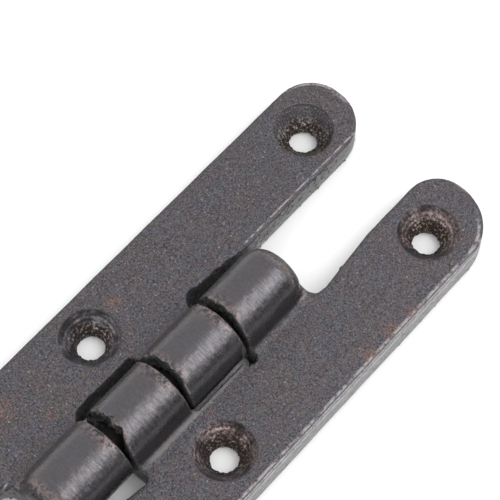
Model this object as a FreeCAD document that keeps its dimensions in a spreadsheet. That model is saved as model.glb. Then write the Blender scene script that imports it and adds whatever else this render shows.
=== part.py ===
import FreeCAD, Part
import math
import os
import Sketcher

# An H hinge lying flat on its back: two cast-iron leaves, each a round-ended strap with two barrel
# knuckles on its inner edge, and the steel pin that runs through all four knuckles.
# Frame: +Z up out of the back faces, +Y along the pin, X across the leaves, origin under the centre.
doc = FreeCAD.newDocument("h_hinge")

# Driving dimensions in millimetres, the angles in degrees.
# Edges, notches and holes are measured sideways from the pin, or lengthways from the hinge's centre.
SIZES = {
    "left_length": 104.0,
    "right_length": 103.2,
    "overall_width": 37.05,
    "leaf_thickness": 4.5,
    "left_inner_end_radius": 6.4,
    "right_inner_end_radius": 5.2,
    "left_outer_end_radius": 5.8,
    "right_outer_end_radius": 7.9,
    "left_inner_edge": 5.7,
    "right_inner_edge": 5.3,
    "barrel_radius": 5.0,
    "root_radius": 1.3,
    "row_top": 25.0,
    "joint_top": 12.7,
    "joint_middle": 1.5,
    "joint_bottom": -9.6,
    "row_bottom": -22.1,
    "knuckle_gap": 0.6,
    "left_notch": 6.7,
    "right_notch": 5.3,
    "end_notch": 7.3,
    "notch_round": 1.0,
    "left_notch_foot_round": 1.8,
    "right_notch_foot_round": 1.0,
    "flare_depth": 1.15,
    "flare_length": 12.3,
    "flare_round": 1.8,
    "near_hole": 42.7,
    "far_hole": 43.7,
    "left_end_hole": 12.0,
    "left_middle_hole": 12.6,
    "right_end_hole": 11.6,
    "right_middle_hole": 11.8,
    "hole_diameter": 4.1,
    "countersink_diameter": 8.5,
    "countersink_angle": 76.0,
    "pin_radius": 2.0,
    "running_clearance": 0.05,
    "pin_proud": 0.4,
    "pin_end_round": 1.0,
    "barrel_end_round": 2.7,
    "round_to_back": 180.0,
    "round_to_root": 93.0,
    "edge_round": 0.35,
    "rim_round": 0.3,
}
sheet = doc.addObject("Spreadsheet::Sheet", "Size")
for row, (alias, value) in enumerate(SIZES.items(), start=1):
    sheet.set(f"A{row}", alias)
    sheet.set(f"B{row}", str(value))
    sheet.setAlias(f"B{row}", alias)
doc.recompute()

ORIGIN = (-1, 1)
UPRIGHT_AXIS = -2
START, END, CENTRE = 1, 2, 3
NORMAL = FreeCAD.Vector(0, 0, 1)
TOLERANCE = 1e-4


def size(expression):
    """The present value of an expression in the sheet's names."""
    return float(sheet.evalExpression(expression.replace("Size.", "")))


def near(value, expression):
    return abs(value - size(expression)) < TOLERANCE


def new_sketch(body, role, name, lift="0"):
    """A sketch on one of the body's own origin planes, lifted along that plane's normal."""
    plane = next(item for item in body.Origin.OriginFeatures if item.Role == role)
    sketch = body.newObject("Sketcher::SketchObject", name)
    sketch.AttachmentSupport = [(plane, "")]
    sketch.MapMode = "FlatFace"
    sketch.setExpression("AttachmentOffset.Base.z", lift)
    return sketch


def bind(sketch, expression, kind, *where):
    """A dimension of the sketch that follows an expression."""
    number = sketch.addConstraint(Sketcher.Constraint(kind, *where, size(expression)))
    sketch.setExpression(f"Constraints[{number}]", expression)


def place_point(sketch, geometry, position, across, along):
    bind(sketch, across, "DistanceX", *ORIGIN, geometry, position)
    bind(sketch, along, "DistanceY", *ORIGIN, geometry, position)


def draw_circle(sketch, across, along, radius):
    """A circle whose centre and radius are expressions."""
    centre = FreeCAD.Vector(size(across), size(along), 0)
    circle = sketch.addGeometry(Part.Circle(centre, NORMAL, size(radius)))
    place_point(sketch, circle, CENTRE, across, along)
    bind(sketch, radius, "Radius", circle)


def round_off(before, corner, after, radius):
    """Where a round of this radius leaves the two sides of a corner, and its centre."""
    back = (before - corner).normalize()
    ahead = (after - corner).normalize()
    half_angle = back.getAngle(ahead) / 2
    setback = radius / math.tan(half_angle)
    centre = corner + (back + ahead).normalize() * (radius / math.sin(half_angle))
    return corner + back * setback, corner + ahead * setback, centre


def draw_outline(sketch, corners):
    """A closed outline through corners (across, along, round), the round None where it is sharp."""
    points = [FreeCAD.Vector(size(across), size(along), 0) for across, along, _ in corners]
    neighbours = zip(points[-1:] + points[:-1], points, points[1:] + points[:1])
    turns = [(point, point, None) if rounding is None else round_off(before, point, after, size(rounding))
             for (before, point, after), (_, _, rounding) in zip(neighbours, corners)]
    lines = [sketch.addGeometry(Part.LineSegment(leaving[1], arriving[0]))
             for leaving, arriving in zip(turns, turns[1:] + turns[:1])]
    for number, (across, along, rounding) in enumerate(corners):
        arriving, leaving = lines[number - 1], lines[number]
        if rounding is None:
            sketch.addConstraint(Sketcher.Constraint("Coincident", arriving, END, leaving, START))
            place_point(sketch, leaving, START, across, along)
            continue
        first, last, centre = turns[number]
        angles = [math.atan2(point.y - centre.y, point.x - centre.x) for point in (first, last)]
        ends = [START, END]
        if (first - centre).cross(last - centre).z < 0:
            angles.reverse()
            ends.reverse()
        arc = sketch.addGeometry(Part.ArcOfCircle(Part.Circle(centre, NORMAL, size(rounding)), *angles))
        sketch.addConstraint(Sketcher.Constraint("Tangent", arriving, END, arc, ends[0]))
        sketch.addConstraint(Sketcher.Constraint("Tangent", arc, ends[1], leaving, START))
        bind(sketch, rounding, "Radius", arc)
        corner = sketch.addGeometry(Part.Point(points[number]), True)
        sketch.addConstraint(Sketcher.Constraint("PointOnObject", corner, START, arriving))
        sketch.addConstraint(Sketcher.Constraint("PointOnObject", corner, START, leaving))
        place_point(sketch, corner, START, across, along)


def draw_barrel(sketch, web_edge):
    """Section of a knuckle: the round barrel, flat-backed towards the strap, which it joins in a hollow."""
    radius = size("Size.barrel_radius")
    hollow = size("Size.root_radius")
    top = size("Size.leaf_thickness")
    lean = math.asin((top + hollow - radius) / (radius + hollow))
    centre = FreeCAD.Vector(0, radius, 0)
    hollow_centre = FreeCAD.Vector((radius + hollow) * math.cos(lean), top + hollow, 0)
    under = FreeCAD.Vector(0, 0, 0)
    back_corner = FreeCAD.Vector(size(web_edge), 0, 0)
    front_corner = FreeCAD.Vector(size(web_edge), top, 0)
    foot = FreeCAD.Vector(hollow_centre.x, top, 0)
    barrel = sketch.addGeometry(Part.ArcOfCircle(Part.Circle(centre, NORMAL, radius), lean, 1.5 * math.pi))
    back = sketch.addGeometry(Part.LineSegment(under, back_corner))
    side = sketch.addGeometry(Part.LineSegment(back_corner, front_corner))
    front = sketch.addGeometry(Part.LineSegment(front_corner, foot))
    root = sketch.addGeometry(
        Part.ArcOfCircle(Part.Circle(hollow_centre, NORMAL, hollow), math.pi + lean, 1.5 * math.pi))
    sketch.addConstraint([
        Sketcher.Constraint("PointOnObject", barrel, CENTRE, UPRIGHT_AXIS),
        Sketcher.Constraint("Tangent", barrel, END, back, START),
        Sketcher.Constraint("Horizontal", back),
        Sketcher.Constraint("Coincident", back, END, side, START),
        Sketcher.Constraint("Vertical", side),
        Sketcher.Constraint("Coincident", side, END, front, START),
        Sketcher.Constraint("Horizontal", front),
        Sketcher.Constraint("Tangent", front, END, root, END),
        Sketcher.Constraint("Tangent", root, START, barrel, START),
    ])
    bind(sketch, "Size.barrel_radius", "DistanceY", *ORIGIN, barrel, CENTRE)
    bind(sketch, "Size.barrel_radius", "Radius", barrel)
    bind(sketch, "Size.root_radius", "Radius", root)
    place_point(sketch, front, START, web_edge, "Size.leaf_thickness")


def draw_end_round(sketch, barrel_end):
    """What is rounded off a barrel end, drawn above the pin, and the pin's axis to turn it about."""
    radius = size("Size.barrel_end_round")
    top = size("2 * Size.barrel_radius")
    end = size(barrel_end)
    axis = sketch.addGeometry(
        Part.LineSegment(FreeCAD.Vector(0, top / 2, 0), FreeCAD.Vector(end, top / 2, 0)), True)
    corners = [(end, top - radius), (end + radius, top - radius), (end + radius, top + radius),
               (end - radius, top + radius), (end - radius, top)]
    points = [FreeCAD.Vector(along, up, 0) for along, up in corners]
    below, side, above, behind = [sketch.addGeometry(Part.LineSegment(start, stop))
                                  for start, stop in zip(points, points[1:])]
    centre = FreeCAD.Vector(end - radius, top - radius, 0)
    arc = sketch.addGeometry(Part.ArcOfCircle(Part.Circle(centre, NORMAL, radius), 0, math.pi / 2))
    sketch.addConstraint([
        Sketcher.Constraint("Horizontal", axis),
        Sketcher.Constraint("PointOnObject", axis, START, UPRIGHT_AXIS),
        Sketcher.Constraint("Horizontal", below),
        Sketcher.Constraint("Coincident", below, END, side, START),
        Sketcher.Constraint("Vertical", side),
        Sketcher.Constraint("Coincident", side, END, above, START),
        Sketcher.Constraint("Horizontal", above),
        Sketcher.Constraint("Coincident", above, END, behind, START),
        Sketcher.Constraint("Vertical", behind),
        Sketcher.Constraint("Perpendicular", behind, END, arc, END),
        Sketcher.Constraint("Perpendicular", arc, START, below, START),
    ])
    place_point(sketch, axis, END, barrel_end, "Size.barrel_radius")
    bind(sketch, "Size.barrel_end_round", "Radius", arc)
    place_point(sketch, below, START, barrel_end, "2 * Size.barrel_radius - Size.barrel_end_round")
    place_point(sketch, side, END, f"{barrel_end} + Size.barrel_end_round",
                "2 * Size.barrel_radius + Size.barrel_end_round")


def pad(body, sketch, name, length):
    feature = body.newObject("PartDesign::Pad", name)
    feature.Profile = sketch
    feature.setExpression("Length", length)
    doc.recompute()


def cut_through(body, sketch, name):
    """A pocket right through the body, both ways from its sketch."""
    volume_before = body.Shape.Volume
    feature = body.newObject("PartDesign::Pocket", name)
    feature.Profile = sketch
    feature.SideType = "Symmetric"
    feature.Type = "ThroughAll"
    doc.recompute()
    if not body.Shape.Volume < volume_before:
        raise RuntimeError(name + " cuts nothing")


def round_edges(body, name, radius, wanted):
    """Rounds the body's edges that the test picks out."""
    base = body.Tip
    picked = [f"Edge{number}" for number, edge in enumerate(base.Shape.Edges, start=1) if wanted(edge)]
    if not picked:
        raise RuntimeError(name + " finds no edge")
    feature = body.newObject("PartDesign::Fillet", name)
    feature.Base = (base, picked)
    feature.setExpression("Radius", radius)
    doc.recompute()


# One leaf is drawn to the right of the pin with its outermost knuckle at the top.
# The left leaf is drawn the same way and turned half a turn, so its places along the pin are negated.
KNUCKLES = {
    "right": {
        "outer_end": "Size.row_top",
        "outer_root": "Size.joint_top + Size.knuckle_gap / 2",
        "inner_top": "Size.joint_middle - Size.knuckle_gap / 2",
        "inner_bottom": "Size.joint_bottom + Size.knuckle_gap / 2",
        "far_end": "Size.row_bottom",
    },
    "left": {
        "outer_end": "-Size.row_bottom",
        "outer_root": "-Size.joint_bottom + Size.knuckle_gap / 2",
        "inner_top": "-Size.joint_middle - Size.knuckle_gap / 2",
        "inner_bottom": "-Size.joint_top + Size.knuckle_gap / 2",
        "far_end": "-Size.row_top",
    },
}
PAST_BARREL = "-Size.barrel_radius - 1"


def make_leaf(side, bore_radius):
    place = KNUCKLES[side]
    inner_edge = f"Size.{side}_inner_edge"
    outer_edge = "Size.overall_width / 2"
    outer_radius = f"Size.{side}_outer_end_radius"
    inner_radius = f"Size.{side}_inner_end_radius"
    half_length = f"Size.{side}_length / 2"
    notch = f"Size.{side}_notch"
    foot_round = f"Size.{side}_notch_foot_round"
    body = doc.addObject("PartDesign::Body", side + "_leaf")
    body.Label = side + "_leaf"

    # The flat round-ended strap.
    strap = new_sketch(body, "XY_Plane", side + "_strap_outline")
    draw_outline(strap, [
        (outer_edge, f"-{half_length}", outer_radius),
        (outer_edge, half_length, outer_radius),
        (inner_edge, half_length, inner_radius),
        (inner_edge, f"-{half_length}", inner_radius),
    ])
    pad(body, strap, side + "_strap", "Size.leaf_thickness")

    # The barrel, cast in one with the strap and left long at both ends for the cuts that follow.
    barrel_top = f"{place['outer_end']} + Size.flare_round"
    barrel_bottom = f"{place['inner_bottom']} - {foot_round}"
    barrel = new_sketch(body, "XZ_Plane", side + "_barrel_section", f"-({barrel_top})")
    draw_barrel(barrel, f"{inner_edge} + {inner_radius}")
    pad(body, barrel, side + "_barrel", f"{barrel_top} - ({barrel_bottom})")

    # The end of the outermost knuckle, where the strap's inner edge runs out a little to a round foot.
    flare = new_sketch(body, "XY_Plane", side + "_flare_outline")
    draw_outline(flare, [
        (PAST_BARREL, place["outer_end"], None),
        (f"{inner_edge} + Size.flare_depth", place["outer_end"], "Size.flare_round"),
        (inner_edge, f"{place['outer_end']} + Size.flare_length", None),
        (PAST_BARREL, f"{place['outer_end']} + Size.flare_length", None),
    ])
    cut_through(body, flare, side + "_flare")

    # The notch between the two knuckles, for the other leaf's inner knuckle.
    middle = new_sketch(body, "XY_Plane", side + "_middle_notch_outline")
    draw_outline(middle, [
        (PAST_BARREL, place["inner_top"], None),
        (notch, place["inner_top"], "Size.notch_round"),
        (notch, place["outer_root"], foot_round),
        (PAST_BARREL, place["outer_root"], None),
    ])
    cut_through(body, middle, side + "_middle_notch")

    # The slanted notch beside the other leaf's outermost knuckle.
    end = new_sketch(body, "XY_Plane", side + "_end_notch_outline")
    draw_outline(end, [
        (PAST_BARREL, place["far_end"], None),
        (inner_edge, place["far_end"], None),
        ("Size.end_notch", place["inner_bottom"], foot_round),
        (PAST_BARREL, place["inner_bottom"], None),
    ])
    cut_through(body, end, side + "_end_notch")

    # Three countersunk screw holes.
    screws = new_sketch(body, "XY_Plane", side + "_screw_centres", "Size.leaf_thickness")
    for across, along in ((f"Size.{side}_end_hole", "Size.near_hole"),
                          (f"Size.{side}_middle_hole", "0"),
                          (f"Size.{side}_end_hole", "-Size.far_hole")):
        draw_circle(screws, across, along, "Size.hole_diameter / 2")
    doc.recompute()
    volume_before = body.Shape.Volume
    holes = body.newObject("PartDesign::Hole", side + "_screw_holes")
    holes.Profile = screws
    holes.DepthType = "ThroughAll"
    holes.DrillPoint = "Flat"
    holes.HoleCutType = "Countersink"
    holes.HoleCutCustomValues = True
    holes.setExpression("Diameter", "Size.hole_diameter")
    holes.setExpression("HoleCutDiameter", "Size.countersink_diameter")
    holes.setExpression("HoleCutCountersinkAngle", "Size.countersink_angle")
    doc.recompute()
    if not body.Shape.Volume < volume_before:
        raise RuntimeError(holes.Name + " cuts nothing")

    # The bore for the pin, through both knuckles.
    bore = new_sketch(body, "XZ_Plane", side + "_bore_circle")
    draw_circle(bore, "0", "Size.barrel_radius", bore_radius)
    cut_through(body, bore, side + "_bore")

    # Worn edges: right round the face of the strap, and where the knuckles meet the other leaf's.
    def on_strap_face(edge):
        middle = edge.CenterOfMass
        return near(middle.x, outer_edge) and near(middle.z, "Size.leaf_thickness")

    def on_knuckle_rim(edge):
        if edge.Curve.TypeId != "Part::GeomCircle" or not near(edge.Curve.Radius, "Size.barrel_radius"):
            return False
        rims = ("outer_root", "inner_top", "inner_bottom")
        return any(near(edge.Curve.Center.y, place[name]) for name in rims)

    round_edges(body, side + "_face_edges", "Size.edge_round", on_strap_face)
    round_edges(body, side + "_knuckle_rims", "Size.rim_round", on_knuckle_rim)

    # The rounded end of the outermost knuckle, from the root over the top and down to the back.
    end_round = new_sketch(body, "YZ_Plane", side + "_barrel_end_outline")
    draw_end_round(end_round, place["outer_end"])
    volume_before = body.Shape.Volume
    barrel_end = body.newObject("PartDesign::Groove", side + "_barrel_end")
    barrel_end.Profile = end_round
    barrel_end.ReferenceAxis = (end_round, ["Axis0"])
    barrel_end.Type = "TwoAngles"
    barrel_end.setExpression("Angle", "Size.round_to_root")
    barrel_end.setExpression("Angle2", "Size.round_to_back")
    doc.recompute()
    if not body.Shape.Volume < volume_before:
        raise RuntimeError(barrel_end.Name + " cuts nothing")

    if side == "left":
        body.Placement = FreeCAD.Placement(FreeCAD.Vector(), FreeCAD.Rotation(NORMAL, 180))
    doc.recompute()
    return body


def make_pin():
    """The steel pin, its domed ends standing a little proud of the outermost knuckles."""
    body = doc.addObject("PartDesign::Body", "hinge_pin")
    body.Label = "hinge_pin"
    section = new_sketch(body, "XZ_Plane", "pin_circle", "-(Size.row_top + Size.pin_proud)")
    draw_circle(section, "0", "Size.barrel_radius", "Size.pin_radius")
    pad(body, section, "pin_rod", "Size.row_top - Size.row_bottom + 2 * Size.pin_proud")
    round_edges(body, "pin_domes", "Size.pin_end_round",
                lambda edge: edge.Curve.TypeId == "Part::GeomCircle")
    return body


pieces = [
    make_leaf("left", "Size.pin_radius"),
    make_leaf("right", "Size.pin_radius + Size.running_clearance"),
    make_pin(),
]

# Every feature has to be sound before a piece is written.
for item in doc.Objects:
    if {"Invalid", "Error"} & set(item.State):
        raise RuntimeError(item.Name + " failed: " + ", ".join(item.State))
for piece in pieces:
    if piece.Shape.isNull() or not piece.Shape.isValid() or len(piece.Shape.Solids) != 1:
        raise RuntimeError(piece.Label + " is not one valid solid")

os.makedirs("parts", exist_ok=True)
for piece in pieces:
    piece.Shape.exportStep(f"parts/{piece.Label}.step")
    print(piece.Label, "volume", round(piece.Shape.Volume, 1), "mm3")
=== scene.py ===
import bpy
import math
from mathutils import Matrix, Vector, noise


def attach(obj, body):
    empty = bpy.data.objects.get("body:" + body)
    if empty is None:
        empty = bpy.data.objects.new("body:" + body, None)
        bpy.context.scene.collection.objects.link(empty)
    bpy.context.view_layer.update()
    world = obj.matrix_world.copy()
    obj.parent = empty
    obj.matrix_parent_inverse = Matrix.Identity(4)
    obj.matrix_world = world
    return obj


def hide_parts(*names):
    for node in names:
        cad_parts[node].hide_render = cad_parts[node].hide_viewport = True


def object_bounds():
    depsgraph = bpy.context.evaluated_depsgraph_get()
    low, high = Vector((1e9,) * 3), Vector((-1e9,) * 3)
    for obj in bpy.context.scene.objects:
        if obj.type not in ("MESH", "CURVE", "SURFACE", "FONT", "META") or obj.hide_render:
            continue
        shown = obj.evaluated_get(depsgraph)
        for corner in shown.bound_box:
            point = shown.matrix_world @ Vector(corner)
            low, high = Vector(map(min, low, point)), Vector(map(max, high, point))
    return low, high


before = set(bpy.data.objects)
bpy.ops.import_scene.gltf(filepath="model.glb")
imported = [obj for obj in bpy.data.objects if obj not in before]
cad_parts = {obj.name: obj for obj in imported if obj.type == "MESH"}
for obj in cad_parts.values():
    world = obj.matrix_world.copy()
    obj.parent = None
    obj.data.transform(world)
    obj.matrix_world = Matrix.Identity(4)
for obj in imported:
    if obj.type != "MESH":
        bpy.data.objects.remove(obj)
cad_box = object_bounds()

# The two leaves
# Each leaf is one sand casting in iron, strap and knuckles together. The skin is sandy and a little wavy,
# with flash along the edges, grit in the screw holes and the arrises worn back to bare metal.
# Sizes and places in this section are in millimetres.
MM = 0.001
SKIN_GRAIN = 0.24
BARREL_RADIUS = 5.0
ROW_TOP = 25.0
ROW_BOTTOM = -22.1
LEFT_KNUCKLES = [(1.8, 12.4), (ROW_BOTTOM, -9.9)]
JOINTS = [ROW_TOP, 12.7, 1.5, -9.6, ROW_BOTTOM]
SCREW_HOLES = [(-12.0, 43.7), (-12.6, 0.0), (-12.0, -42.7), (11.6, 42.7), (11.8, 0.0), (11.6, -43.7)]
HOLE_RADIUS = 2.05
SINK_RADIUS = 4.25


def apply_modifier(piece, kind, name, **settings):
    modifier = piece.modifiers.new(name, kind)
    for setting, value in settings.items():
        setattr(modifier, setting, value)
    bpy.ops.object.modifier_apply(modifier=name)


def rub(piece, name, passes, group=""):
    apply_modifier(piece, "SMOOTH", name, factor=0.5, iterations=passes, vertex_group=group)


def raise_skin(piece, name, texture, height, still, group=""):
    """Push the skin out along its normals; what the texture shows at the still level stays where it is."""
    apply_modifier(piece, "DISPLACE", name, texture=texture, texture_coords="LOCAL",
                   strength=height * MM, mid_level=still, vertex_group=group)


def mark(piece, name, weight):
    """A vertex group weighed by each point's place and its normal."""
    group = piece.vertex_groups.new(name=name)
    for vertex in piece.data.vertices:
        share = weight(vertex.co / MM, vertex.normal)
        if share > 0:
            group.add([vertex.index], min(share, 1.0), "REPLACE")


def clouds(name, size, depth=1, ramp=None):
    """A cloudy height texture; a ramp keeps only what rises past its first value."""
    texture = bpy.data.textures.new(name, "CLOUDS")
    texture.noise_scale = size * MM
    texture.noise_depth = depth
    if ramp:
        texture.use_color_ramp = True
        texture.color_ramp.elements[0].color = (0, 0, 0, 1)
        texture.color_ramp.elements[1].color = (1, 1, 1, 1)
        texture.color_ramp.elements[0].position = ramp[0]
        texture.color_ramp.elements[1].position = ramp[1]
    return texture


casting_waves = clouds("casting waves", size=5.0)
sand_skin = clouds("sand skin", size=0.6, depth=2)
flash_beads = clouds("flash beads", size=0.8, ramp=(0.68, 0.84))
notch_waves = clouds("notch waves", size=1.9)
hole_grit = clouds("hole grit", size=0.45, depth=2)


def between(value, span):
    return span[0] < value < span[1]


def rise(value, start, stop):
    """0 where the value is at start or before it, 1 at stop or past it."""
    return min(max((value - start) / (stop - start), 0.0), 1.0)


def beside_barrel(y):
    return ROW_BOTTOM - 0.4 < y < ROW_TOP


def to_screw_hole(co):
    return min(math.hypot(co.x - x, co.y - y) for x, y in SCREW_HOLES)


def round_barrel(co, normal):
    return float(abs(co.x) < BARREL_RADIUS + 0.5)


FOOT_REACH = 1.8
FOOT_ACROSS = (1.5, 7.0)
FOOT_HEIGHT = (2.2, 6.2)


def knuckle_foot(co, normal):
    """The foot of the row's far end, beside the right strap, and of its near end, beside the left one."""
    far_foot = co.y > ROW_TOP - FOOT_REACH and between(co.x, FOOT_ACROSS)
    near_foot = co.y < ROW_BOTTOM + FOOT_REACH and between(-co.x, FOOT_ACROSS)
    return float((far_foot or near_foot) and between(co.z, FOOT_HEIGHT) and abs(co.y) < ROW_TOP + 1.0)


ROOT_ACROSS = (-8.5, -3.6)
ROOT_HEIGHT = (3.6, 8.0)


def left_root(co, normal):
    """The hollow where the left leaf's knuckles run into its strap."""
    in_row = any(low + 0.5 < co.y < high - 0.5 for low, high in LEFT_KNUCKLES)
    return float(in_row and between(co.x, ROOT_ACROSS) and between(co.z, ROOT_HEIGHT))


NOTCH_ACROSS = (-8.2, -5.9)
TOE_HEIGHT = 2.8


def notch_wall(co, normal):
    """The left leaf's walls beside the right leaf's knuckles."""
    return float(between(co.x, NOTCH_ACROSS) and normal.x > 0.4 and beside_barrel(co.y))


def notch_toe(co, normal):
    return notch_wall(co, normal) * (TOE_HEIGHT - co.z) / TOE_HEIGHT


LOWER_EDGE = 0.9
UPPER_EDGE = 3.6
INNER_EDGE_ACROSS = (4.0, 7.0)
INNER_EDGE_REACH = 42.0
CLEAR_OF_HOLES = 4.6


def strap_edge(co, normal):
    """The lower edges of the straps, where the mould's halves met, and the right strap's inner top edge."""
    inner_edge = between(co.x, INNER_EDGE_ACROSS) and co.z > UPPER_EDGE and abs(co.y) < INNER_EDGE_REACH
    clear = abs(co.x) > BARREL_RADIUS and to_screw_hole(co) > CLEAR_OF_HOLES and not beside_barrel(co.y)
    return float((co.z < LOWER_EDGE or inner_edge) and clear and abs(normal.z) < 0.9)


GRIT_REACH = 1.0
GRIT_HEIGHT = (0.3, 4.4)


def hole_wall(co, normal):
    """The walls of the screw holes and the foot of their countersinks."""
    return float(between(co.z, GRIT_HEIGHT)) * (HOLE_RADIUS + GRIT_REACH - to_screw_hole(co)) * 2


WORN_ENDS = {"left": [(1.8, 0.7)], "right": [(13.0, 0.55), (-9.3, 1.3)]}
WORN_REACH = 3.0
RAGGED_SIZE = 0.9
RAGGED_SHARE = 0.7


def wear_back(leaf, end, depth):
    """A knuckle's near end, worn back raggedly over the top of the barrel and sound on the outer flank."""
    for vertex in leaf.data.vertices:
        place = vertex.co / MM
        along = (place.y - end) / WORN_REACH
        if -0.1 < along < 1.0:
            from_pin = math.hypot(place.x, place.z - BARREL_RADIUS)
            on_barrel = rise(from_pin, BARREL_RADIUS + 0.6, BARREL_RADIUS + 0.1)
            over_top = rise(place.x, 3.6, 1.2) * rise(place.x, -5.2, -4.4) * rise(place.z, 2.5, 5.5)
            ragged = 1.0 + RAGGED_SHARE * noise.noise(Vector((place.x, end, place.z)) / RAGGED_SIZE)
            vertex.co.y += depth * MM * ragged * on_barrel * over_top * min(1.0 - along, 1.0)


OPEN_CORNER = (5.45, 12.1)
OPEN_CORNER_RADIUS = 1.0
OPEN_CORNER_FLOOR = 1.0


def open_corner(leaf):
    """The corner of the right leaf's upper notch, eaten away beside the second knuckle."""
    for vertex in leaf.data.vertices:
        place = vertex.co / MM
        away = math.hypot(place.x - OPEN_CORNER[0], place.y - OPEN_CORNER[1])
        if place.z > OPEN_CORNER_FLOOR:
            eaten = rise(away, OPEN_CORNER_RADIUS, OPEN_CORNER_RADIUS - 0.25)
            vertex.co.z -= (place.z - OPEN_CORNER_FLOOR) * MM * eaten


def cast_leaf(side):
    """A copy of the leaf's solid with a worn, sandy casting skin that stays inside the hinge's own box."""
    bpy.ops.object.select_all(action="DESELECT")
    leaf = bpy.data.objects.new(side + "_casting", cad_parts[side + "_leaf"].data.copy())
    bpy.context.scene.collection.objects.link(leaf)
    bpy.context.view_layer.objects.active = leaf
    leaf.select_set(True)
    bpy.ops.object.mode_set(mode="EDIT")
    bpy.ops.mesh.select_all(action="SELECT")
    bpy.ops.mesh.remove_doubles(threshold=0.001 * MM)
    bpy.ops.object.mode_set(mode="OBJECT")
    apply_modifier(leaf, "REMESH", "skin", mode="VOXEL", voxel_size=SKIN_GRAIN * MM, use_smooth_shade=True)
    rub(leaf, "rubbed edges", passes=1)
    mark(leaf, "barrel", round_barrel)
    rub(leaf, "polished barrel", passes=3, group="barrel")
    for end, depth in WORN_ENDS[side]:
        wear_back(leaf, end, depth)
    mark(leaf, "foot", knuckle_foot)
    rub(leaf, "rubbed foot", passes=60, group="foot")
    if side == "left":
        mark(leaf, "root", left_root)
        rub(leaf, "filled root", passes=300, group="root")
        mark(leaf, "wall", notch_wall)
        raise_skin(leaf, "uneven notch", notch_waves, height=0.6, still=0.5, group="wall")
        mark(leaf, "toe", notch_toe)
        raise_skin(leaf, "notch toe", None, height=0.5, still=0.0, group="toe")
    else:
        open_corner(leaf)
    mark(leaf, "edge", strap_edge)
    raise_skin(leaf, "flash", flash_beads, height=0.25, still=0.0, group="edge")
    mark(leaf, "hole", hole_wall)
    raise_skin(leaf, "grit", hole_grit, height=0.45, still=0.42, group="hole")
    raise_skin(leaf, "waves", casting_waves, height=0.10, still=0.8)
    raise_skin(leaf, "sand", sand_skin, height=0.06, still=0.7)
    lowest, highest = cad_box
    for vertex in leaf.data.vertices:
        vertex.co = [min(max(place, low), high) for place, low, high in zip(vertex.co, lowest, highest)]
    bpy.ops.object.shade_smooth()
    return leaf


class Finish:
    """A material built up from masks, noise and coats of colour in the piece's own coordinates."""

    def __init__(self, name):
        self.material = bpy.data.materials.new(name)
        self.material.use_nodes = True
        self.tree = self.material.node_tree
        self.shader = self.tree.nodes["Principled BSDF"]
        coordinates = self.tree.nodes.new("ShaderNodeTexCoord")
        self.normal = coordinates.outputs["Normal"]
        self.place = self.vector("SCALE", coordinates.outputs["Object"], scale=1 / MM)
        self.colour = None

    def feed(self, socket, value):
        if isinstance(value, bpy.types.NodeSocket):
            self.tree.links.new(value, socket)
        else:
            socket.default_value = value

    def give(self, name, value):
        """Set one of the shader's own sockets."""
        self.feed(self.shader.inputs[name], value)

    def vector(self, operation, *values, scale=None):
        node = self.tree.nodes.new("ShaderNodeVectorMath")
        node.operation = operation
        for socket, value in zip(node.inputs, values):
            self.feed(socket, value)
        if scale is not None:
            self.feed(node.inputs["Scale"], scale)
        return node.outputs["Value" if operation in ("LENGTH", "DISTANCE") else "Vector"]

    def axes(self, vector):
        node = self.tree.nodes.new("ShaderNodeSeparateXYZ")
        self.feed(node.inputs[0], vector)
        return node.outputs

    def figure(self, operation, *values):
        node = self.tree.nodes.new("ShaderNodeMath")
        node.operation = operation
        for socket, value in zip(node.inputs, values):
            self.feed(socket, value)
        return node.outputs[0]

    def together(self, operation, values):
        result = values[0]
        for value in values[1:]:
            result = self.figure(operation, result, value)
        return result

    def all_of(self, *masks):
        return self.together("MULTIPLY", masks)

    def any_of(self, *masks):
        return self.together("MAXIMUM", masks)

    def nearest(self, *distances):
        return self.together("MINIMUM", distances)

    def without(self, mask):
        return self.figure("SUBTRACT", 1.0, mask)

    def fade(self, value, start, stop, low=0.0, high=1.0):
        """Low where the value is at start or before it, high at stop or past it."""
        node = self.tree.nodes.new("ShaderNodeMapRange")
        for name, setting in (("Value", value), ("From Min", start), ("From Max", stop),
                              ("To Min", low), ("To Max", high)):
            self.feed(node.inputs[name], setting)
        return node.outputs["Result"]

    def mix(self, mask, off, on):
        """A value that goes from off to on as the mask fills."""
        return self.fade(mask, 0.0, 1.0, off, on)

    def band(self, value, start, full, last, stop):
        """A mask that fills from start to full, holds to the last value and is empty again at stop."""
        return self.all_of(self.fade(value, start, full), self.fade(value, stop, last))

    def noise(self, size, detail, roughness, stretch=None, output="Fac"):
        node = self.tree.nodes.new("ShaderNodeTexNoise")
        place = self.vector("MULTIPLY", self.place, stretch) if stretch else self.place
        for name, setting in (("Vector", place), ("Scale", 1 / size), ("Detail", detail),
                              ("Roughness", roughness)):
            self.feed(node.inputs[name], setting)
        return node.outputs[output]

    def paint(self, under, share, over, kind="MIX"):
        """One colour laid over another, as far as the share says."""
        node = self.tree.nodes.new("ShaderNodeMix")
        node.data_type = "RGBA"
        node.blend_type = kind
        for socket, setting in zip((node.inputs[0], node.inputs[6], node.inputs[7]), (share, under, over)):
            is_colour = not isinstance(setting, (float, bpy.types.NodeSocket))
            self.feed(socket, (*setting, 1) if is_colour else setting)
        return node.outputs[2]

    def coat(self, share, over, kind="MIX"):
        self.colour = self.paint(self.colour, share, over, kind)

    def bump(self, height, distance, strength, below=None):
        node = self.tree.nodes.new("ShaderNodeBump")
        self.feed(node.inputs["Height"], height)
        self.feed(node.inputs["Distance"], distance * MM)
        self.feed(node.inputs["Strength"], strength)
        if below:
            self.feed(node.inputs["Normal"], below)
        return node.outputs["Normal"]


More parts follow.
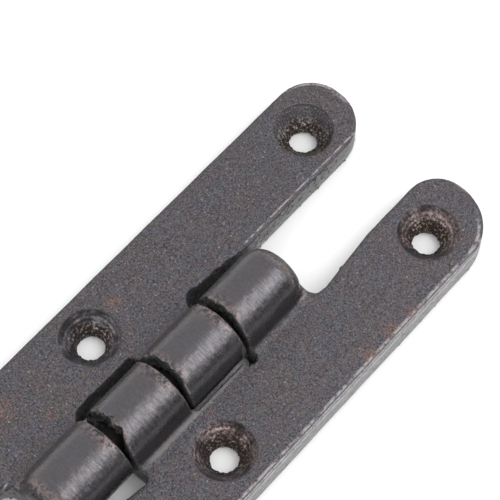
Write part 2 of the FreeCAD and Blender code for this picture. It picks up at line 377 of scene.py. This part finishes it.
iron = Finish("worn iron")
across, along, height = iron.axes(iron.place)
face_x, face_y, face_z = iron.axes(iron.normal)
aside = iron.figure("ABSOLUTE", across)
endwise = iron.figure("ABSOLUTE", along)
facing_ends = iron.figure("ABSOLUTE", face_y)
plan = iron.vector("MULTIPLY", iron.place, (1, 1, 0))


def to_spot(x, y):
    """How far the iron is from a spot, seen from above."""
    return iron.vector("DISTANCE", plan, (x, y, 0))


# Where the barrel, the countersinks and the straps' sides are, and the slots and joints of the knuckle row.
# The backs count as far from any hole, so they stay clean.
off_axis = iron.vector("SUBTRACT", iron.place, (0, 0, BARREL_RADIUS))
from_pin = iron.vector("LENGTH", iron.vector("MULTIPLY", off_axis, (1, 0, 1)))
barrel = iron.fade(from_pin, BARREL_RADIUS + 0.4, BARREL_RADIUS + 0.1)
to_hole = iron.nearest(*[to_spot(x, y) for x, y in SCREW_HOLES])
to_hole = iron.figure("ADD", to_hole, iron.fade(height, 0.4, 0.2, 0.0, 2 * SINK_RADIUS))
sink = iron.fade(to_hole, SINK_RADIUS + 0.1, SINK_RADIUS - 0.1)
strap = iron.all_of(iron.without(barrel), iron.without(sink))
side_face = iron.all_of(iron.fade(iron.figure("ABSOLUTE", face_z), 0.5, 0.3), strap)
in_row = iron.band(along, ROW_BOTTOM - 0.2, ROW_BOTTOM + 0.4, ROW_TOP - 0.6, ROW_TOP)
beside_row = iron.all_of(in_row, iron.fade(aside, 8.2, 7.6))
facing_out = iron.figure("MULTIPLY", face_x, iron.figure("SIGN", across))
in_slot = iron.all_of(side_face, beside_row, iron.fade(facing_out, 0.1, -0.2))
in_joint = iron.all_of(barrel, beside_row, iron.fade(facing_ends, 0.6, 0.8))
knuckle_rim = iron.all_of(barrel, iron.fade(facing_ends, 0.12, 0.35), iron.fade(from_pin, 4.2, 4.6))
to_joint = iron.nearest(*[iron.figure("ABSOLUTE", iron.figure("SUBTRACT", along, y)) for y in JOINTS])

# The arrises that are worn bare, along the right leaf's outside, the left leaf's inside and round the tips,
# the rounding of the straps' top edges, and the bevel along the right leaf's outside, which gets a painted
# highlight.
OUTER_ARRIS = (17.55, 17.75, 17.95, 18.08)
INNER_ARRIS = (-6.50, -6.43, -6.27, -6.20)
RIGHT_TIP = (10.6, 43.7)
RIGHT_TIP_ARRIS = (6.95, 7.15, 7.40, 7.50)
LEFT_TIP = (-12.7, 46.2)
LEFT_TIP_ARRIS = (5.15, 5.25, 5.50, 5.60)
top_edge = iron.all_of(iron.fade(height, 3.9, 4.1), iron.without(barrel), iron.without(beside_row))
by_outside = iron.band(across, *OUTER_ARRIS)
by_inside = iron.band(across, *INNER_ARRIS)
by_ends = iron.fade(endwise, 51.0, 51.3, 0.0, 0.6)
by_right_tip = iron.all_of(iron.band(to_spot(*RIGHT_TIP), *RIGHT_TIP_ARRIS),
                           iron.fade(along, 43.0, 44.5), iron.fade(across, 14.0, 16.0))
by_left_tip = iron.all_of(iron.band(to_spot(*LEFT_TIP), *LEFT_TIP_ARRIS),
                          iron.fade(along, 46.5, 48.0), iron.fade(across, -10.0, -12.0))
arris = iron.all_of(top_edge, iron.any_of(by_outside, by_inside, by_ends, by_right_tip, by_left_tip))
turned_over = iron.all_of(top_edge, iron.band(face_z, 0.1, 0.3, 0.85, 0.95), iron.fade(to_hole, 4.5, 4.9))
bevel_highlight = iron.all_of(iron.fade(height, 3.2, 3.5), iron.fade(across, 18.15, 18.3, 0.0, 0.85))

# Grey scale with grains of every tint, bluer and browner in drifts, rusted in spots, smooth on the barrel.
BLUE_SCALE = (0.080, 0.075, 0.092)
BROWN_SCALE = (0.092, 0.075, 0.080)
BARREL_GREY = (0.092, 0.089, 0.094)
RUST = (0.18, 0.102, 0.085)
PINK_RUST = (0.17, 0.095, 0.085)
BARE_GRAIN = (0.30, 0.28, 0.28)
RUST_SPOTS = [(-13.6, 6.1, 1.9), (17.7, 31.7, 1.8), (17.1, 28.2, 2.0), (17.2, 23.3, 1.8), (6.9, 2.7, 1.1),
              (-14.0, -15.3, 2.2), (-8.6, -11.6, 1.2)]
grain = iron.noise(0.22, 2.0, 0.6)
drift = iron.noise(3.0, 4.0, 0.6)
rusty = iron.noise(0.6, 4.0, 0.75)
tint = iron.vector("SCALE", iron.noise(0.45, 2.0, 0.6, output="Color"), scale=0.175)
iron.colour = iron.paint(BLUE_SCALE, iron.fade(drift, 0.38, 0.62), BROWN_SCALE)
iron.coat(iron.mix(barrel, 0.3, 0.08), tint)
iron.coat(iron.mix(barrel, 0.0, 0.6), BARREL_GREY)
for x, y, reach in RUST_SPOTS:
    spot = iron.fade(to_spot(x, y), reach, 0.2 * reach)
    iron.coat(iron.all_of(spot, iron.fade(rusty, 0.42, 0.56, 0.0, 0.65)), RUST)
specks = iron.all_of(iron.fade(grain, 0.3, 0.7, -0.75, 0.85), iron.mix(barrel, 1.0, 0.15))
iron.coat(1.0, iron.figure("ADD", 1.0, specks), "MULTIPLY")
pink = iron.fade(iron.noise(0.9, 2.0, 0.6), 0.64, 0.74, 0.0, 0.5)
iron.coat(iron.all_of(pink, strap), PINK_RUST)
bare = iron.fade(iron.noise(0.4, 0.0, 0.5), 0.76, 0.80, 0.0, 0.6)
iron.coat(iron.all_of(bare, strap), BARE_GRAIN)

# The barrel, turned in fine lines that show most where it is rubbed, painted dark as shade on its right
# flank and painted paler as light on its left. The narrow ledge of the right strap beside the second and
# third knuckles has a painted highlight.
FLANK_SHADE = (0.03, 0.029, 0.03)
LEFT_FLANK_LIGHT = (0.20, 0.185, 0.19)
LEDGE_HIGHLIGHT = (0.19, 0.185, 0.185)
turned = iron.noise(0.22, 4.0, 0.75, stretch=(0.16, 1.0, 0.16))
rubbed = iron.band(face_x, 0.1, 0.3, 0.65, 0.8)
lines = iron.all_of(iron.fade(turned, 0.35, 0.65, -1.0, 1.0), barrel, iron.mix(rubbed, 0.12, 0.42))
iron.coat(1.0, iron.figure("ADD", 1.0, lines), "MULTIPLY")
# Painted shade: the barrel's right flank is darkened towards black.
flank = iron.all_of(barrel, iron.fade(face_x, 0.66, 0.84))
iron.coat(iron.mix(flank, 0.0, 0.45), FLANK_SHADE)
# Painted light: the barrel's left flank, just above the strap, is made paler.
lit_left_flank = iron.all_of(iron.fade(from_pin, 6.5, 5.6), iron.fade(face_x, -0.45, -0.8, 0.0, 0.35),
                  iron.fade(height, 4.2, 4.8))
iron.coat(lit_left_flank, LEFT_FLANK_LIGHT)
# Painted highlight: a pale band along the right strap's narrow ledge beside the knuckles.
ledge_highlight = iron.all_of(iron.band(across, 5.2, 5.4, 5.8, 6.1), iron.band(along, -9.0, -7.0, 7.0, 12.0),
                    iron.fade(height, 4.0, 4.3, 0.0, 0.5), iron.without(barrel))
iron.coat(ledge_highlight, LEDGE_HIGHLIGHT)

# Lighter, filed sides, paler towards the foot but for the hinge's right side. Pits lie thick high up on the
# left leaf's inner side and are few elsewhere.
PIT_BLACK = (0.014, 0.013, 0.014)
EDGE_SHADE = (0.06, 0.056, 0.06)
striped = iron.noise(0.3, 3.0, 0.7, stretch=(0.4, 0.4, 1.0))
to_right = iron.fade(across, 14.0, 17.0)
filed = iron.figure("ADD", striped, iron.fade(grain, 0.3, 0.7, -0.12, 0.12))
filed = iron.fade(filed, 0.3, 0.7, iron.mix(to_right, 0.10, 0.15), iron.mix(to_right, 0.36, 0.38))
lit_foot = iron.fade(height, 1.2, 2.4, 1.08, iron.mix(to_right, 0.80, 1.08))
filed = iron.figure("MULTIPLY", filed, lit_foot)
iron.coat(iron.mix(side_face, 0.0, 0.88), filed)
# Painted highlight: the upper part of the right leaf's outer side, made lighter than the side below.
iron.coat(bevel_highlight, iron.figure("MULTIPLY", filed, 1.3))
sounder = iron.any_of(iron.fade(aside, 10.0, 12.0), iron.fade(across, -1.0, 1.0),
                      iron.fade(endwise, 43.0, 46.0))
pits = iron.fade(iron.noise(0.55, 1.0, 0.5, stretch=(1.0, 1.0, 0.7)),
                 iron.mix(sounder, 0.43, 0.29), iron.mix(sounder, 0.40, 0.26), 0.0, 0.85)
upper_half = iron.fade(height, 1.2, 2.4, iron.mix(sounder, 0.2, 0.9), 1.0)
iron.coat(iron.all_of(side_face, pits, upper_half), PIT_BLACK)
iron.coat(iron.all_of(turned_over, iron.fade(striped, 0.3, 0.5, 0.0, 0.4)), EDGE_SHADE)

# Countersinks, dark and gritty, turned in rings, with brown grit down by the hole. The far left one has a
# clean far lip, grit and painted shade on its near side and glints of bare grain; two walls of each of the
# others are darkened as painted shade.
LEFT_CONE = (0.165, 0.152, 0.165)
RIGHT_CONE = (0.195, 0.152, 0.150)
GRIT_BROWN = (0.034, 0.025, 0.020)
GRIT_TAN = (0.44, 0.335, 0.25)
NEAR_WALL_SHADE = (0.026, 0.026, 0.031)
LEFT_WALL_SHADE = (0.017, 0.017, 0.021)
CRUST_AND_SHADE_BLACK = (0.012, 0.011, 0.008)
GLINT = (0.40, 0.39, 0.35)
RIM_BLACK = (0.02, 0.018, 0.018)
RING_RADIANS_PER_MM = 13.0
on_left = iron.fade(across, 1.0, -1.0)
mid_left = iron.all_of(iron.fade(endwise, 20.0, 10.0), on_left)
far_left = iron.all_of(iron.fade(along, 20.0, 30.0), on_left)
facing_near_right = iron.figure("SUBTRACT", face_x, face_y)
facing_far_right = iron.figure("ADD", face_x, face_y)
gritty = iron.noise(0.4, 3.0, 0.75)
soot = iron.fade(iron.noise(2.4, 2.0, 0.5), 0.38, 0.62, 0.3, 1.25)
gritted = iron.fade(gritty, 0.38, 0.62, iron.mix(mid_left, 0.25, 0.6), iron.mix(mid_left, 1.75, 1.9))
rings = iron.figure("SINE", iron.figure("MULTIPLY", to_hole, RING_RADIANS_PER_MM))
ringed = iron.fade(rings, -1.0, 1.0, iron.mix(mid_left, 0.7, 0.6), iron.mix(mid_left, 1.3, 1.4))
cone = iron.paint(RIGHT_CONE, on_left, LEFT_CONE)
cone = iron.paint(cone, 1.0, iron.all_of(soot, gritted, ringed), "MULTIPLY")
clean_lip = iron.all_of(far_left, iron.fade(to_hole, 2.8, 3.4, 0.0, 0.9),
                        iron.fade(facing_near_right, 0.1, 0.6))
# The far left countersink's near wall: grit, and painted shade that darkens the whole wall.
crusted_and_shaded = iron.all_of(far_left, sink, iron.fade(facing_near_right, 0.2, -0.4))
deep = iron.any_of(iron.fade(to_hole, 3.5, 2.6), crusted_and_shaded)
dirty_sink = iron.all_of(sink, iron.without(clean_lip))
iron.coat(dirty_sink, cone)
iron.coat(iron.all_of(deep, iron.fade(gritty, 0.60, 0.50)), GRIT_BROWN)
iron.coat(iron.all_of(deep, iron.fade(gritty, 0.58, 0.66)), GRIT_TAN)
# Painted shade: two walls of every countersink but the far left one are darkened by which way they face.
shaded_sink = iron.all_of(sink, iron.without(far_left))
iron.coat(iron.all_of(shaded_sink, iron.fade(facing_near_right, -0.2, -0.7, 0.0, 0.6)), NEAR_WALL_SHADE)
iron.coat(iron.all_of(shaded_sink, iron.fade(facing_far_right, 0.35, 0.9, 0.0, 0.45)), LEFT_WALL_SHADE)
# Painted shade: the far left countersink's near wall, darkened.
iron.coat(iron.mix(crusted_and_shaded, 0.0, 0.55), CRUST_AND_SHADE_BLACK)
iron.coat(iron.all_of(far_left, sink, iron.fade(grain, 0.60, 0.68, 0.0, 0.4)), GLINT)
rim_start = iron.mix(far_left, SINK_RADIUS - 0.6, SINK_RADIUS - 0.15)
rim_full = iron.mix(far_left, SINK_RADIUS - 0.25, SINK_RADIUS)
sink_rim = iron.band(to_hole, rim_start, rim_full, SINK_RADIUS + 0.1, SINK_RADIUS + 0.25)
far_wall = iron.fade(facing_near_right, -0.2, 0.5, 0.15, 1.0)
iron.coat(iron.all_of(sink_rim, far_wall, iron.fade(drift, 0.4, 0.55, 0.2, 0.8)), RIM_BLACK)

# Bare metal on the arrises and knuckle rims, tan stains by the joints, dark flecks there that are partly
# crusts and partly painted shade, and painted shade, near black, in the joints, the slots and the open
# notch corner.
BARE_ARRIS = (0.33, 0.30, 0.305)
BARE_RIM = (0.27, 0.22, 0.20)
TAN_STAIN = (0.26, 0.19, 0.172)
DARK_CRUST_AND_SHADE = (0.03, 0.026, 0.03)
wear = iron.noise(1.1, 3.0, 0.6)
iron.coat(iron.all_of(arris, iron.fade(wear, 0.42, 0.56, 0.08, 0.95)), BARE_ARRIS)
iron.coat(iron.all_of(knuckle_rim, iron.fade(gritty, 0.46, 0.6, 0.0, 0.55)), BARE_RIM)
by_joint = iron.all_of(barrel, iron.fade(to_joint, 2.5, 0.9), iron.fade(face_x, 0.6, 0.4))
stains = iron.all_of(by_joint, iron.fade(rusty, 0.50, 0.57, 0.0, 0.7))
iron.coat(stains, TAN_STAIN)
# Dark flecks beside the joints: crusts of dirt, and painted shade that widens the joints' dark edges on the
# upper left.
crusts_and_shade = iron.all_of(by_joint, iron.fade(rusty, 0.47, 0.42, 0.0, 0.8))
iron.coat(crusts_and_shade, DARK_CRUST_AND_SHADE)
in_corner = iron.fade(to_spot(*OPEN_CORNER), OPEN_CORNER_RADIUS, OPEN_CORNER_RADIUS - 0.2)
# Painted shade: near black in the slots beside the knuckles, in the joints and in the open notch corner.
painted_shade = iron.any_of(iron.all_of(in_corner, iron.fade(height, 0.4, 0.8)), in_slot, in_joint)
iron.coat(painted_shade, iron.fade(gritty, 0.35, 0.65, 0.015, 0.11))

# Dirt and the painted shade are dull and hardly metallic, the barrel and the arrises are smooth, and the
# straps are sandy.
dull_dirt_and_shade = iron.any_of(dirty_sink, painted_shade)
polished = iron.all_of(barrel, iron.without(painted_shade), iron.without(stains), iron.without(crusts_and_shade))
smooth = iron.any_of(polished, iron.mix(arris, 0.0, 0.7))
mottled = iron.figure("ADD", iron.fade(grain, 0.3, 0.7, -0.05, 0.08),
                      iron.fade(wear, 0.35, 0.65, -0.05, 0.06))
relief = iron.bump(turned, 0.03, iron.mix(barrel, 0.0, 0.6))
relief = iron.bump(grain, 0.06, iron.mix(barrel, 0.8, 0.07), relief)
relief = iron.bump(rusty, 0.08, iron.mix(barrel, 0.0, 0.35), relief)
iron.give("Base Color", iron.colour)
iron.give("Metallic", iron.mix(dull_dirt_and_shade, 0.75, 0.1))
iron.give("Specular IOR Level", iron.mix(dull_dirt_and_shade, 0.5, 0.05))
iron.give("Roughness", iron.figure("ADD", iron.mix(smooth, 0.55, 0.26), mottled))
iron.give("Normal", relief)

for side in ("left", "right"):
    leaf = cast_leaf(side)
    leaf.data.materials.clear()
    leaf.data.materials.append(iron.material)
    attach(leaf, side)
    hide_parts(side + "_leaf")

# The pin
# A drawn steel rod, pressed into the left leaf's knuckles. Its domed ends show, dull and browned, and
# slivers of it in the joints, painted black and dull as shade.
DRAWN_GREY = (0.16, 0.145, 0.135)
PIN_BROWN = (0.09, 0.06, 0.045)
PIN_SHADE = (0.012, 0.011, 0.011)
steel = Finish("drawn steel")
drawn = steel.noise(0.3, 3.0, 0.7, stretch=(1.0, 0.1, 1.0))
up_pin = steel.axes(steel.place)[1]
inside_row = steel.band(up_pin, ROW_BOTTOM + 0.5, ROW_BOTTOM + 1.5, ROW_TOP - 1.5, ROW_TOP - 0.5)
steel.colour = steel.paint(DRAWN_GREY, steel.fade(drawn, 0.4, 0.65), PIN_BROWN)
# Painted shade: the pin is black, dull and hardly metallic inside the knuckle row, where the joints show
# it.
steel.coat(steel.mix(inside_row, 0.0, 0.95), PIN_SHADE)
steel.give("Base Color", steel.colour)
steel.give("Metallic", steel.mix(inside_row, 0.9, 0.1))
steel.give("Specular IOR Level", steel.mix(inside_row, 0.5, 0.05))
steel.give("Roughness", steel.fade(drawn, 0.3, 0.7, 0.3, 0.55))
steel.give("Normal", steel.bump(drawn, 0.03, 0.4))
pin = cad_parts["hinge_pin"]
pin.data.materials.clear()
pin.data.materials.append(steel.material)

# The floor
# A wide, plain white table that carries on past the picture on every side.
FLOOR_SIZE = 6.0
FLOOR_DROP = 0.05 * MM
bpy.ops.object.select_all(action="DESELECT")
bpy.ops.mesh.primitive_plane_add(size=FLOOR_SIZE, location=(0, 0, -FLOOR_DROP))
floor = bpy.context.object
floor.name = "floor"
table = Finish("white table")
table.give("Base Color", (0.95, 0.95, 0.95, 1))
table.give("Roughness", 0.9)
floor.data.materials.append(table.material)

# The light
# A soft square lamp from the upper right, in a pale room that is dark low down on that side.
LAMP_DIRECTION = Vector((0.438, 0.336, 0.835))
LAMP_DISTANCE = 0.6
LAMP_SIZE = 0.40
LAMP_POWER = 1.55
DARK_DIRECTION = (0.93, 0.30, 0.10)
DARK_START = 0.86
DARK_FULL = 0.94
ROOM_STRENGTH = 1.1
DARK_STRENGTH = 0.12
bpy.ops.object.light_add(type="AREA", location=LAMP_DIRECTION * LAMP_DISTANCE)
lamp = bpy.context.object
lamp.name = "soft lamp"
lamp.data.shape = "SQUARE"
lamp.data.size = LAMP_SIZE
lamp.data.energy = LAMP_POWER
lamp.rotation_mode = "QUATERNION"
lamp.rotation_quaternion = (-LAMP_DIRECTION).to_track_quat("-Z", "Y")
room = bpy.data.worlds.new("room")
room.use_nodes = True
nodes = room.node_tree.nodes
links = room.node_tree.links
heading = nodes.new("ShaderNodeTexCoord")
towards_dark = nodes.new("ShaderNodeVectorMath")
towards_dark.operation = "DOT_PRODUCT"
towards_dark.inputs[1].default_value = DARK_DIRECTION
links.new(heading.outputs["Generated"], towards_dark.inputs[0])
dimmed = nodes.new("ShaderNodeMapRange")
dimmed.inputs["From Min"].default_value = DARK_START
dimmed.inputs["From Max"].default_value = DARK_FULL
dimmed.inputs["To Min"].default_value = ROOM_STRENGTH
dimmed.inputs["To Max"].default_value = DARK_STRENGTH
links.new(towards_dark.outputs["Value"], dimmed.inputs["Value"])
links.new(dimmed.outputs["Result"], nodes["Background"].inputs["Strength"])
nodes["Background"].inputs["Color"].default_value = (1, 1, 1, 1)
bpy.context.scene.world = room
bpy.context.scene.view_settings.view_transform = "Standard"

# The camera
# Well above the hinge and to its right, with a long lens, as in the photograph.
CAMERA_AZIMUTH = math.radians(41.39)
CAMERA_ELEVATION = math.radians(63.38)
CAMERA_DISTANCE = 270.6 * MM
CAMERA_TARGET = Vector((-6.597, 25.99, 0)) * MM
SENSOR_WIDTH = 36.0
LENS = 138.48
back = Vector((math.sin(CAMERA_AZIMUTH) * math.cos(CAMERA_ELEVATION),
               -math.cos(CAMERA_AZIMUTH) * math.cos(CAMERA_ELEVATION),
               math.sin(CAMERA_ELEVATION)))
bpy.ops.object.camera_add(location=CAMERA_TARGET + CAMERA_DISTANCE * back)
camera = bpy.context.object
camera.rotation_mode = "QUATERNION"
camera.rotation_quaternion = (-back).to_track_quat("-Z", "Y")
camera.data.sensor_width = SENSOR_WIDTH
camera.data.lens = LENS
camera.data.clip_start = 0.01
bpy.context.scene.camera = camera
